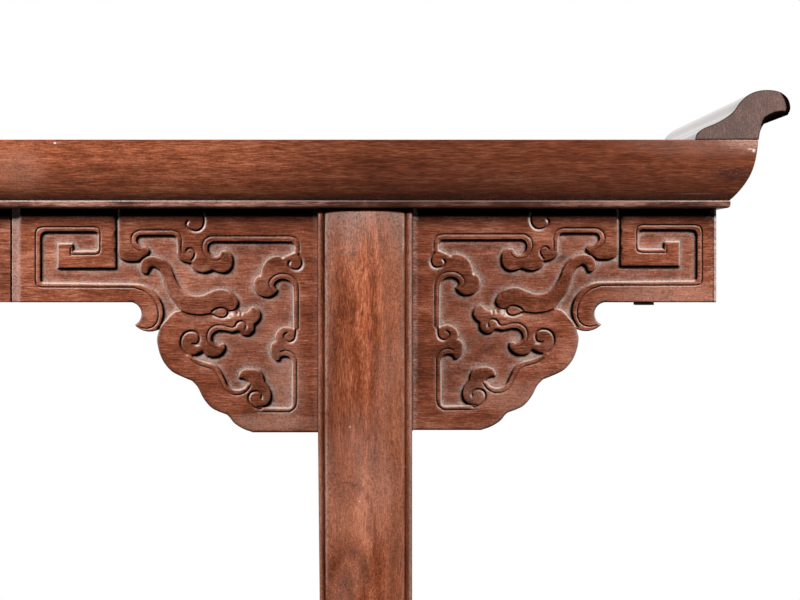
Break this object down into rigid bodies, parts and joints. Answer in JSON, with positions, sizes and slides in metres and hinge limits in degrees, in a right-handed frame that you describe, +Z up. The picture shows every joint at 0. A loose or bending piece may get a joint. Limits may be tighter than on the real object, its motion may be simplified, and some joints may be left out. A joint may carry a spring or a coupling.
{
  "type": "altar table",
  "caption": "Long hardwood altar table with everted scroll flanges, framed panel top, recessed legs slotted over carved scroll aprons, and shoe feet",
  "frame": {"origin": "on the floor under the middle of the table", "axes": "+X along the table's length, +Y to the back, +Z up; the front faces -Y"},
  "size_m": [2.6688, 0.5, 0.9729],
  "materials": {
    "top_rail_wood": "oiled and rubbed, satin",
    "panel_wood": "oiled and rubbed, satin",
    "batten_wood": "dry",
    "edge_strip_wood": "oiled and rubbed, satin",
    "apron_wood": "oiled and rubbed, satin, with dust in the carving",
    "carved_wood": "oiled and rubbed, satin, with dust in the carving",
    "leg_wood": "oiled and rubbed, satin",
    "flange_wood": "oiled and rubbed, satin",
    "foot_wood": "oiled and rubbed, satin",
    "stretcher_wood": "oiled and rubbed, satin",
    "ring_wood": "oiled and rubbed, satin",
    "bamboo": "dry"
  },
  "bodies": {
    "root": {"front_rail": "top_rail_wood", "back_rail": "top_rail_wood", "front_panel_board": "panel_wood", "back_panel_board": "panel_wood", "batten_1": "batten_wood", "batten_2": "batten_wood", "batten_3": "batten_wood", "batten_4": "batten_wood", "batten_5": "batten_wood", "batten_6": "batten_wood", "batten_7": "batten_wood", "front_strip": "edge_strip_wood", "back_strip": "edge_strip_wood", "strip_pins": "bamboo", "front_centre_apron": "apron_wood", "back_centre_apron": "apron_wood", "apron_blocks": "batten_wood", "front_right_leg": "leg_wood", "front_right_carved_apron": "carved_wood", "front_left_leg": "leg_wood", "front_left_carved_apron": "carved_wood", "back_right_leg": "leg_wood", "back_right_carved_apron": "carved_wood", "back_left_leg": "leg_wood", "back_left_carved_apron": "carved_wood", "right_end_rail": "top_rail_wood", "right_end_strip": "edge_strip_wood", "right_end_apron": "apron_wood", "right_flange": "flange_wood", "right_foot": "foot_wood", "right_lower_stretcher": "stretcher_wood", "right_upper_stretcher": "stretcher_wood", "right_ring_front": "ring_wood", "right_ring_back": "ring_wood", "right_ring_top": "ring_wood", "right_ring_bottom": "ring_wood", "left_end_rail": "top_rail_wood", "left_end_strip": "edge_strip_wood", "left_end_apron": "apron_wood", "left_flange": "flange_wood", "left_foot": "foot_wood", "left_lower_stretcher": "stretcher_wood", "left_upper_stretcher": "stretcher_wood", "left_ring_front": "ring_wood", "left_ring_back": "ring_wood", "left_ring_top": "ring_wood", "left_ring_bottom": "ring_wood"}
  },
  "joints": []
}
